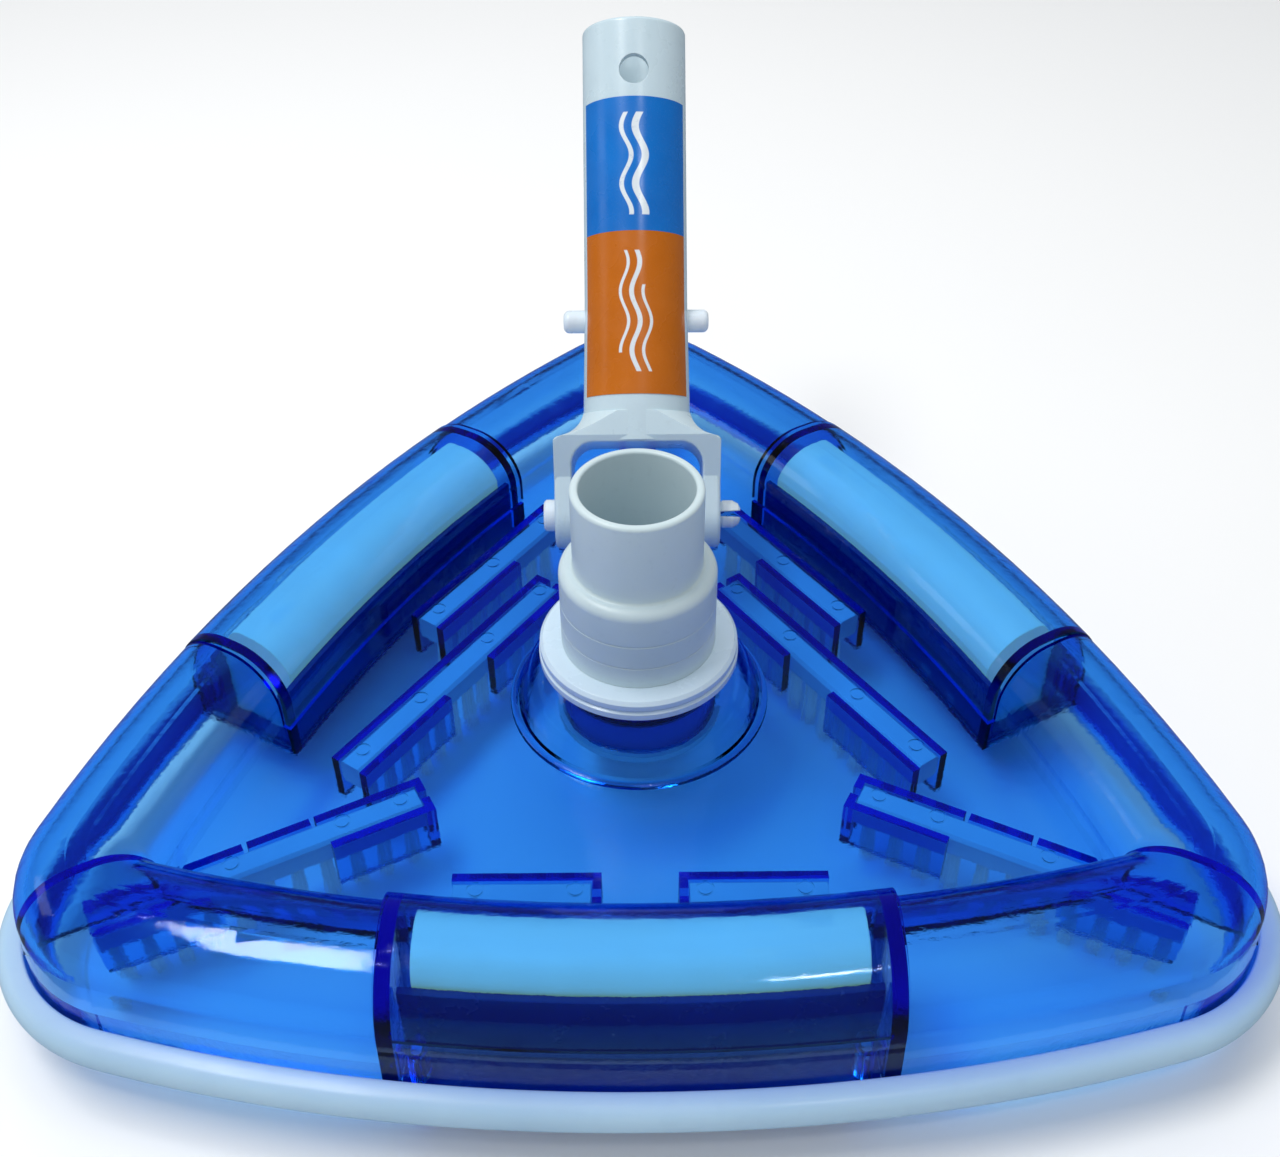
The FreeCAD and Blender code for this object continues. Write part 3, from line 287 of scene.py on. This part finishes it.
def weight_coat():
    """A thick pale coat with low spots and dull patches, and a faint yellow painted glow that stands in for light
    reaching the weights inside the blue shell.
    """
    mat = Finish("weight_coat")
    drift = mat.noise(scale=32.0, detail=4.0, rough=0.6)
    colour = mat.mix(mat.remap(drift), (0.90, 0.92, 0.84), (0.97, 0.98, 0.90))
    patches = mat.remap(mat.noise(scale=150.0, detail=4.0, rough=0.6),
                        span=(0.6, 0.85), to=(0.0, 0.3))
    colour = mat.mix(patches, colour, (0.76, 0.79, 0.74))
    rough = mat.remap(mat.noise(scale=80.0), to=(0.45, 0.65))
    height = mat.plus(mat.times(mat.noise(scale=45.0, detail=2.0), 2.0),
                      mat.noise(scale=420.0))
    return mat.principled({
        "IOR": 1.5,
        "Base Color": colour,
        "Roughness": rough,
        "Normal": mat.bump(height, strength=0.22, distance=0.00035,
                           normal=mat.bevel(0.0006)),
        # painted light: a faint yellow glow, not a lamp, that brightens the weights seen through the blue shell
        "Emission Color": mat.mix(mat.remap(drift), (1.0, 0.84, 0.24), (1.0, 0.92, 0.32)),
        "Emission Strength": 0.40,
    })


def bristle():
    """Pale nylon, streaked along the strands, with a faint blue painted glow that stands in for light reaching the
    tufts under the shell.
    """
    mat = Finish("bristle_pale")
    per_object = mat.node("ObjectInfo").outputs["Random"]
    strand = mat.noise(scale=1.0, detail=1.0,
                       vector=mat.stretch(scale=(2200.0, 2200.0, 30.0)))
    colour = mat.mix(mat.remap(strand), (0.50, 0.58, 0.66), (0.74, 0.79, 0.84))
    colour = mat.mix(mat.times(per_object, 0.12), colour, (0.45, 0.52, 0.60))
    return mat.principled({
        "IOR": 1.5,
        "Base Color": colour,
        "Roughness": mat.remap(strand, to=(0.32, 0.5)),
        # painted light: a faint blue glow, not a lamp, that brightens the tufts seen through the shell
        "Emission Color": (0.62, 0.80, 1.0),
        "Emission Strength": 0.12,
    })


WRAP_RADIUS = 14.0 * MM
INK_BLUR = 0.00022  # soft edge along the sides of a wave line
INK_END_BLUR = 0.0003  # soft edge at its two ends


def wrap_print(name, ground, shade, waves):
    """Printed vinyl wrap: a plain colour field with white wave lines along the tube.

    Each wave is (offset around the tube, amplitude, pitch, half width, start, end) in
    metres, with start and end measured along the tube from the tilt pivot.
    """
    mat = Finish(name)

    def along(direction):
        inputs = {0: mat.coords, 1: direction}
        return mat.node("VectorMath", inputs, operation="DOT_PRODUCT").outputs["Value"]

    run = mat.minus(along(AXIS), PIVOT.dot(AXIS))
    forward = mat.minus(along(FRONT), PIVOT.dot(FRONT))
    around = mat.times(mat.math("ARCTAN2", along(ACROSS), forward), WRAP_RADIUS)
    ink = 0.0
    for offset, amplitude, pitch, half_width, start, end in waves:
        phase = mat.times(run, 2 * math.pi / pitch)
        wave = mat.times(mat.math("SINE", phase), amplitude)
        distance = mat.math("ABSOLUTE", mat.minus(mat.minus(around, offset), wave))
        line = mat.remap(distance, span=(half_width, half_width + INK_BLUR), to=(1.0, 0.0))
        within = mat.times(mat.remap(run, span=(start, start + INK_END_BLUR)),
                           mat.remap(run, span=(end - INK_END_BLUR, end), to=(1.0, 0.0)))
        ink = mat.math("MAXIMUM", ink, mat.times(line, within))
    worn = mat.noise(scale=700.0, detail=4.0, rough=0.7)
    ink = mat.times(ink, mat.remap(worn, span=(0.30, 0.42), to=(0.75, 1.0)))
    drift = mat.noise(scale=60.0)
    colour = mat.mix(mat.remap(drift), ground, shade)
    dots = mat.noise(scale=2600.0, detail=1.0)
    colour = mat.mix(mat.remap(dots, span=(0.55, 0.8), to=(0.0, 0.016)), colour, (1, 1, 1))
    colour = mat.mix(ink, colour, (0.74, 0.80, 0.84))
    rough = mat.remap(mat.noise(scale=90.0), to=(0.20, 0.34))
    height = mat.plus(mat.noise(scale=240.0), mat.noise(scale=30.0, detail=2.0))
    return mat.principled({
        "IOR": 1.5,
        "Base Color": colour,
        "Roughness": rough,
        "Normal": mat.bump(height, strength=0.12, distance=0.00012),
    })


SHELL = clear_blue()
CREAM = plastic("yoke_cream", low=(0.54, 0.67, 0.735), high=(0.61, 0.745, 0.81),
                rough=0.30, peel=0.09, scatter=0.12, coat=0.10)
SPIGOT = plastic("spigot_cream", low=(0.54, 0.66, 0.70), high=(0.62, 0.735, 0.77),
                 rough=0.38, peel=0.10, scatter=0.12)
COLLAR = plastic("collar_white", low=(0.60, 0.74, 0.85), high=(0.67, 0.81, 0.915),
                 rough=0.26, peel=0.07, scatter=0.15, coat=0.15)
PIN = plastic("pin_white", low=(0.66, 0.75, 0.82), high=(0.76, 0.84, 0.90),
              rough=0.35, peel=0.10, scatter=0.2)
BUTTON = plastic("button_white", low=(0.68, 0.78, 0.86), high=(0.78, 0.86, 0.93),
                 rough=0.33, peel=0.08, scatter=0.2)
SPRING = plastic("spring_plastic", low=(0.60, 0.62, 0.62), high=(0.72, 0.74, 0.74),
                 rough=0.4, peel=0.1)
BAR = plastic("bar_white", low=(0.72, 0.76, 0.80), high=(0.84, 0.87, 0.90),
              rough=0.42, peel=0.12, bevel=0.0004)
RETAINER = plastic("retainer_white", low=(0.66, 0.70, 0.72), high=(0.78, 0.81, 0.83),
                   rough=0.4, peel=0.1)
COVER = plastic("cover_blue", low=(0.004, 0.016, 0.15), high=(0.006, 0.024, 0.21),
                rough=0.24, peel=0.10, coat=0.3, bevel=0.0003)
WEIGHT = weight_coat()
STEEL = steel()
RUBBER = rubber()
VINYL = vinyl()
BRISTLE = bristle()
ORANGE = wrap_print("label_orange", ground=srgb(202, 108, 12), shade=srgb(190, 100, 10), waves=[
    (0.0, 0.0011, 0.0155, 0.00052, 0.037, 0.069),
    (0.0030, 0.0011, 0.0155, 0.00030, 0.037, 0.060),
    (-0.0030, 0.0011, 0.0155, 0.00030, 0.042, 0.069),
])
BLUE = wrap_print("label_blue", ground=srgb(10, 116, 204), shade=srgb(8, 106, 192), waves=[
    (0.0015, 0.0013, 0.0150, 0.00085, 0.078, 0.105),
    (-0.0022, 0.0013, 0.0150, 0.00050, 0.078, 0.105),
])

PART_FINISHES = {
    "deck_shell": SHELL, "swivel_collar": COLLAR, "hose_swivel": SPIGOT,
    "swivel_seal": RUBBER, "swivel_retainer": RETAINER, "handle_yoke": CREAM,
    "pivot_pin": PIN, "snap_button_left": BUTTON, "snap_button_right": BUTTON,
    "label_lower": ORANGE, "label_upper": BLUE, "cover_screws": STEEL,
    "spring_clip": SPRING, "bumper": VINYL,
}
# For numbered parts, by the start of the name; the first match wins
PREFIX_FINISHES = {"brush_bar": BAR, "bristles": BRISTLE, "weight_cover": COVER,
                   "weight": WEIGHT}


def finish_for(name):
    if name in PART_FINISHES:
        return PART_FINISHES[name]
    return next((mat for prefix, mat in PREFIX_FINISHES.items() if name.startswith(prefix)),
                None)


for name, part in nodes.items():
    for slot in part.material_slots:
        slot.material = finish_for(name)

# ------------------------------------------------------------------ mesh helpers


def make(name, verts, faces, material):
    """A smooth-shaded object with its normals facing out."""
    mesh = bpy.data.meshes.new(name)
    mesh.from_pydata([tuple(v) for v in verts], [], faces)
    mesh.validate()
    work = bmesh.new()
    work.from_mesh(mesh)
    bmesh.ops.recalc_face_normals(work, faces=work.faces)
    work.to_mesh(mesh)
    work.free()
    mesh.materials.append(material)
    mesh.polygons.foreach_set("use_smooth", [True] * len(mesh.polygons))
    obj = bpy.data.objects.new(name, mesh)
    scene.collection.objects.link(obj)
    return obj


def tube_faces(rings):
    """Faces of a capped tube, from its rings of vertex indices."""
    faces = []
    for ring, following in zip(rings, rings[1:]):
        for j in range(len(ring)):
            k = (j + 1) % len(ring)
            faces.append((ring[j], ring[k], following[k], following[j]))
    return faces + [tuple(rings[0]), tuple(reversed(rings[-1]))]


# ------------------------------------------------------------------ bumper ring (mm, degrees)

SIDE_DIRECTIONS = (270.0, 390.0, 510.0)  # where the three long sides face
SIDE_SETBACK = 333.0  # from the ring's middle back to the centre of a side arc
SIDE_HALF_ANGLE = 15.30
SIDE_STEPS = 46
CORNER_DISTANCE = 124.933  # from the ring's middle out to the centre of a corner arc
CORNER_INSET = 77.0  # taken off a profile radius to give the corner arc's radius
CORNER_TURN = 60.0  # from a side's direction to the next corner's
CORNER_STEPS = 34

WALL_RADIUS = 117.0
WALL_STEPS = 19
WALL_START, WALL_SWEEP = -90, 168.0
BELLY_WIDTH, SHOULDER_WIDTH = 3.9, 4.6
BELLY_HEIGHT = 4.3
SHOULDER_DROP = 4.5  # taken off the bumper's top to give the shoulder's rise
WALL_SQUARENESS = 0.86


def unit(degrees):
    angle = math.radians(degrees)
    return Vector((math.cos(angle), math.sin(angle), 0))


def bumper_stations():
    """(arc centre, radius added to the profile's, angle) around the ring."""
    stations = []
    for side in SIDE_DIRECTIONS:
        for i in range(SIDE_STEPS):
            angle = side - SIDE_HALF_ANGLE + 2 * SIDE_HALF_ANGLE * i / SIDE_STEPS
            stations.append((unit(side) * -SIDE_SETBACK, SIDE_SETBACK, angle))
        corner = side + CORNER_TURN
        half_angle = CORNER_TURN - SIDE_HALF_ANGLE
        for i in range(CORNER_STEPS):
            angle = corner - half_angle + 2 * half_angle * i / CORNER_STEPS
            stations.append((unit(corner) * CORNER_DISTANCE, -CORNER_INSET, angle))
    return stations


def bumper_profile():
    """(radius, z) points of the flat foot, the round outer wall and the inner side."""
    box_low, box_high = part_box("bumper")
    bottom, top = box_low.z / MM, box_high.z / MM
    foot = [(106.4, bottom + 0.35), (106.75, bottom), (108.5, bottom), (111.0, bottom),
            (113.3, bottom + 0.02)]
    wall = []
    for k in range(1, WALL_STEPS + 1):
        angle = math.radians(WALL_START + WALL_SWEEP * k / WALL_STEPS)
        # a lower belly that eases into a flatter shoulder
        width = BELLY_WIDTH if angle < 0 else SHOULDER_WIDTH
        height = BELLY_HEIGHT if angle < 0 else top - SHOULDER_DROP
        wall.append((WALL_RADIUS - width + width * math.cos(angle) ** WALL_SQUARENESS,
                     bottom + BELLY_HEIGHT + height * math.sin(angle)))
    # the thin top edge, the straight inner face and the lip that turns inward below
    inner = [(111.75, top - 0.06), (111.1, top - 0.03), (110.75, top - 0.18),
             (110.62, top - 0.55), (110.60, 7.0), (110.60, 5.4), (110.60, 3.8),
             (110.60, 2.2), (110.35, 1.92), (108.6, 1.90), (107.0, 1.90), (106.5, 1.75)]
    return foot, wall, inner


def build_bumper():
    foot, wall, inner = bumper_profile()
    profile = foot + wall + inner
    wall_points = range(len(foot), len(foot) + len(wall))
    stations = bumper_stations()
    verts, faces = [], []
    for i, (centre, base, angle) in enumerate(stations):
        # slight unevenness of the outer wall around the ring
        waver = 0.10 * math.sin(i * 0.21) + 0.07 * math.sin(i * 0.093 + 1.3)
        for j, (radius, z) in enumerate(profile):
            reach = base + radius + (waver if j in wall_points else 0.0)
            spot = centre + unit(angle) * reach
            verts.append((spot.x * MM, spot.y * MM, z * MM))
    size = len(profile)
    for i in range(len(stations)):
        here, there = i * size, (i + 1) % len(stations) * size
        for j in range(size):
            k = (j + 1) % size
            faces.append((here + j, there + j, there + k, here + k))
    bumper = make("bumper_ring", verts, faces, VINYL)
    smooth = bumper.modifiers.new("smooth", "SUBSURF")
    smooth.levels = smooth.render_levels = 1
    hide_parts("bumper")
    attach(bumper, "head")


build_bumper()

# ------------------------------------------------------------------ bristle tufts (m)

TUFT_PITCH = 0.0071
TUFT_MARGIN = 0.0018  # from a block's end to its first tuft's centre
TUFT_RADIUS = 0.00165
TUFT_LEAN = 0.0004
TUFT_STRANDS = 34
GOLDEN_ANGLE = 2.39996
STRAND_RADIUS = 0.00015
STRAND_TAPER = 0.55
STRAND_LEVELS = (0.0, 0.4, 0.75, 1.0)  # shares of the length, root to tip
STRAND_SIDES = 4
STRAND_SCATTER = 0.00022
SPLAY_LOW, SPLAY_HIGH = 0.18, 0.55  # spread at the tip, as a share of the root's offset
ROOT_SINK = 0.0004  # how far the roots reach above the block
TIP_SPREAD = 0.0005  # unevenness of the tips
BLOCK_LENGTH_MIN = 0.02
BLOCK_WIDTH_MAX = 0.0042


def long_direction(plan):
    """Direction of the longest line between corners that keeps all corners close to it."""
    longest, direction = BLOCK_LENGTH_MIN, Vector((1, 0))
    for start in plan:
        for end in plan:
            length = (end - start).length
            if length <= longest:
                continue
            line = (end - start).normalized()
            if max(abs((corner - start).cross(line)) for corner in plan) < BLOCK_WIDTH_MAX:
                longest, direction = length, line
    return -direction if direction.x < 0 else direction


def build_tufts(block):
    """A row of nylon tufts in the space of one CAD block."""
    corners = [v.co.copy() for v in nodes[block].data.vertices]
    tip_level = min(v.z for v in corners)
    root_level = max(v.z for v in corners) + ROOT_SINK
    middle = (sum(corners, Vector()) / len(corners)).xy
    along = long_direction([v.xy for v in corners])
    across = Vector((-along.y, along.x))
    reaches = [(v.xy - middle).dot(along) for v in corners]
    length = max(reaches) - min(reaches)
    row = length - 2 * TUFT_MARGIN
    count = max(2, int(round(row / TUFT_PITCH)) + 1)
    step = row / (count - 1)
    verts, faces = [], []
    rnd = random.Random(block)
    for i in range(count):
        base = middle + along * (-length / 2 + TUFT_MARGIN + step * i)
        lean = Vector((rnd.uniform(-1, 1), rnd.uniform(-1, 1))) * TUFT_LEAN
        for k in range(TUFT_STRANDS):
            radius = TUFT_RADIUS * math.sqrt((k + 0.5) / TUFT_STRANDS)
            angle = k * GOLDEN_ANGLE + rnd.uniform(-0.2, 0.2)
            root = Vector((math.cos(angle), math.sin(angle))) * radius
            splay = (root * rnd.uniform(SPLAY_LOW, SPLAY_HIGH) + lean
                     + Vector((rnd.uniform(-1, 1), rnd.uniform(-1, 1))) * STRAND_SCATTER)
            tip_z = tip_level + rnd.uniform(0.0, TIP_SPREAD)
            rings = []
            for level in STRAND_LEVELS:
                offset = root + splay * level * level
                centre = base + along * offset.x + across * offset.y
                z = root_level + (tip_z - root_level) * level
                thick = STRAND_RADIUS * (STRAND_TAPER if level == 1.0 else 1.0)
                rings.append(range(len(verts), len(verts) + STRAND_SIDES))
                for side in range(STRAND_SIDES):
                    turn = side * 2 * math.pi / STRAND_SIDES + angle
                    verts.append((centre.x + thick * math.cos(turn),
                                  centre.y + thick * math.sin(turn), z))
            faces += tube_faces(rings)
    tufts = make(block.replace("bristles", "tufts"), verts, faces, BRISTLE)
    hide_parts(block)
    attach(tufts, "head")


for name in sorted(nodes):
    if name.startswith("bristles_"):
        build_tufts(name)

# ------------------------------------------------------------------ latch spring (mm)

# Heights along the tube from the tilt pivot
SPRING_TOP = 56.0
SPRING_KNEE = 48.4  # where the straight legs turn inward
SPRING_LOW = 29.4
ARM_STEPS = 10
STRIP_SIDES = 12
STRIP_HALF_WIDTH, STRIP_HALF_THICKNESS = 3.4, 0.36
# Powers below 1 square up the section's ellipse
WIDTH_POWER, THICKNESS_POWER = 0.35, 0.5


def spring_path():
    """(x, height along the tube) points, from the left leg's top to the right leg's."""
    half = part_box("spring_clip")[1].x / MM
    arm_x, arm_top = -half + 0.35, SPRING_KNEE - 0.6
    arm_end_x, arm_end = -1.85, SPRING_LOW + 1.6
    left = [(-half, SPRING_TOP), (-half, 53.0), (-half, SPRING_KNEE + 0.8), (arm_x, arm_top)]
    for i in range(1, ARM_STEPS):
        share = i / ARM_STEPS
        left.append((arm_x + (arm_end_x - arm_x) * share,
                     arm_top + (arm_end - arm_top) * share))
    left += [(-1.35, SPRING_LOW + 0.75), (-0.75, SPRING_LOW + 0.2)]
    return left + [(0.0, SPRING_LOW)] + [(-x, height) for x, height in reversed(left)]


def build_spring():
    """A flat strip bent to a V with upright legs, inside the tube."""
    path = spring_path()
    verts, rings = [], []
    for i, (x, height) in enumerate(path):
        before = Vector(path[max(i - 1, 0)])
        after = Vector(path[min(i + 1, len(path) - 1)])
        tangent = (after - before).normalized()
        normal = Vector((-tangent.y, tangent.x))
        rings.append(range(len(verts), len(verts) + STRIP_SIDES))
        for k in range(STRIP_SIDES):
            angle = 2 * math.pi * k / STRIP_SIDES
            cos, sin = math.cos(angle), math.sin(angle)
            wide = STRIP_HALF_WIDTH * math.copysign(abs(cos) ** WIDTH_POWER, cos)
            thick = STRIP_HALF_THICKNESS * math.copysign(abs(sin) ** THICKNESS_POWER, sin)
            spot = (Vector((x + normal.x * thick, 0, 0))
                    + AXIS * (height + normal.y * thick) + SQUARE * wide)
            verts.append((spot.x * MM, PIVOT.y + spot.y * MM, PIVOT.z + spot.z * MM))
    spring = make("latch_spring", verts, tube_faces(rings), SPRING)
    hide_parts("spring_clip")
    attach(spring, "handle")
    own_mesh(spring)


build_spring()

# ------------------------------------------------------------------ floor

FLOOR_HALF = 4
FLOOR_GAP = 0.0003  # below the lowest point of the product


def floor_pale():
    """Near white, but darker in reflections so that glossy parts keep their contrast."""
    mat = Finish("floor_pale")
    pale = mat.mix(mat.noise(scale=3.0), (0.93, 0.93, 0.93), (0.95, 0.95, 0.95))
    rays = mat.node("LightPath").outputs
    mirror = mat.math("SUBTRACT", rays["Is Glossy Ray"], rays["Is Transmission Ray"],
                      clamp=True)
    return mat.principled({
        "Roughness": 0.9,
        "Base Color": mat.mix(mirror, pale, (0.12, 0.15, 0.20)),
        "Specular IOR Level": 0.1,
    })


floor_z = min(v[2] for v in cad_box) - FLOOR_GAP
floor_mesh = bpy.data.meshes.new("floor")
floor_mesh.from_pydata([(x * FLOOR_HALF, y * FLOOR_HALF, floor_z)
                        for x, y in ((-1, -1), (1, -1), (1, 1), (-1, 1))],
                       [], [(0, 1, 2, 3)])
floor = bpy.data.objects.new("floor", floor_mesh)
scene.collection.objects.link(floor)
floor_mesh.materials.append(floor_pale())

# ------------------------------------------------------------------ lights


def lamp(name, position, target, size, power, reflected=True):
    """A rectangular area light; reflected=False hides it from reflection and refraction."""
    light = bpy.data.lights.new(name, "AREA")
    light.shape = "RECTANGLE"
    light.size, light.size_y = size
    light.energy = power
    obj = bpy.data.objects.new(name, light)
    obj.location = position
    aim = Vector(target) - Vector(position)
    obj.rotation_euler = aim.to_track_quat("-Z", "Y").to_euler()
    obj.visible_glossy = obj.visible_transmission = reflected
    scene.collection.objects.link(obj)


lamp("overhead", position=(0.05, 0.50, 1.15), target=(0, 0.0, 0), size=(1.3, 0.9),
     power=5.6, reflected=False)
lamp("front_soft", position=(-0.25, -0.75, 1.05), target=(0, -0.05, 0.02), size=(0.9, 0.5),
     power=1.3, reflected=False)
lamp("window_left", position=(-0.40, -0.02, 0.98), target=(-0.05, -0.06, 0.02),
     size=(0.56, 0.20), power=5.0)
lamp("near_camera", position=(0.22, -0.44, 0.90), target=(0.03, -0.06, 0.03),
     size=(0.14, 0.05), power=0.55)
lamp("fill_left", position=(-1.2, 0.1, 0.55), target=(0, 0, 0.03), size=(0.5, 0.3),
     power=0.5)

# ------------------------------------------------------------------ world

WORLD_COLOUR = (0.93, 0.97, 1.0, 1)
WORLD_DIM = 0.10  # strength in reflections and refractions
WORLD_BRIGHT = 0.39  # strength for diffuse light and the camera

world = bpy.data.worlds.new("studio")
scene.world = world
world.use_nodes = True
tree = world.node_tree
tree.nodes.clear()
output = tree.nodes.new("ShaderNodeOutputWorld")
background = tree.nodes.new("ShaderNodeBackground")
rays = tree.nodes.new("ShaderNodeLightPath").outputs
strength = tree.nodes.new("ShaderNodeMapRange")
strength.inputs["To Min"].default_value = WORLD_DIM
strength.inputs["To Max"].default_value = WORLD_BRIGHT
either = tree.nodes.new("ShaderNodeMath")
either.operation = "MAXIMUM"
tree.links.new(rays["Is Diffuse Ray"], either.inputs[0])
tree.links.new(rays["Is Camera Ray"], either.inputs[1])
tree.links.new(either.outputs[0], strength.inputs["Value"])
tree.links.new(strength.outputs[0], background.inputs["Strength"])
background.inputs["Color"].default_value = WORLD_COLOUR
tree.links.new(background.outputs[0], output.inputs["Surface"])

# ------------------------------------------------------------------ camera and render

CAMERA_PLACE = (0.0005, -0.272, 0.2878)
CAMERA_DOWN = 40.76  # degrees below level, looking toward +Y
CAMERA_ROLL = -0.465

lens = bpy.data.cameras.new("camera")
lens.lens = 41.37
lens.sensor_width = 36.0
lens.sensor_fit = "HORIZONTAL"
lens.clip_start = 0.01
camera = bpy.data.objects.new("camera", lens)
camera.matrix_world = (Matrix.Translation(CAMERA_PLACE)
                       @ Matrix.Rotation(math.radians(90 - CAMERA_DOWN), 4, "X")
                       @ Matrix.Rotation(math.radians(CAMERA_ROLL), 4, "Z"))
scene.collection.objects.link(camera)
scene.camera = camera
scene.view_settings.view_transform = "Standard"
scene.view_settings.look = "None"
# the clear shell needs many bounces
scene.cycles.max_bounces = 24
scene.cycles.transmission_bounces = 20
scene.cycles.transparent_max_bounces = 32
scene.cycles.glossy_bounces = 8
scene.cycles.diffuse_bounces = 4
scene.cycles.sample_clamp_indirect = 8.0
scene.cycles.caustics_reflective = False
scene.cycles.caustics_refractive = False
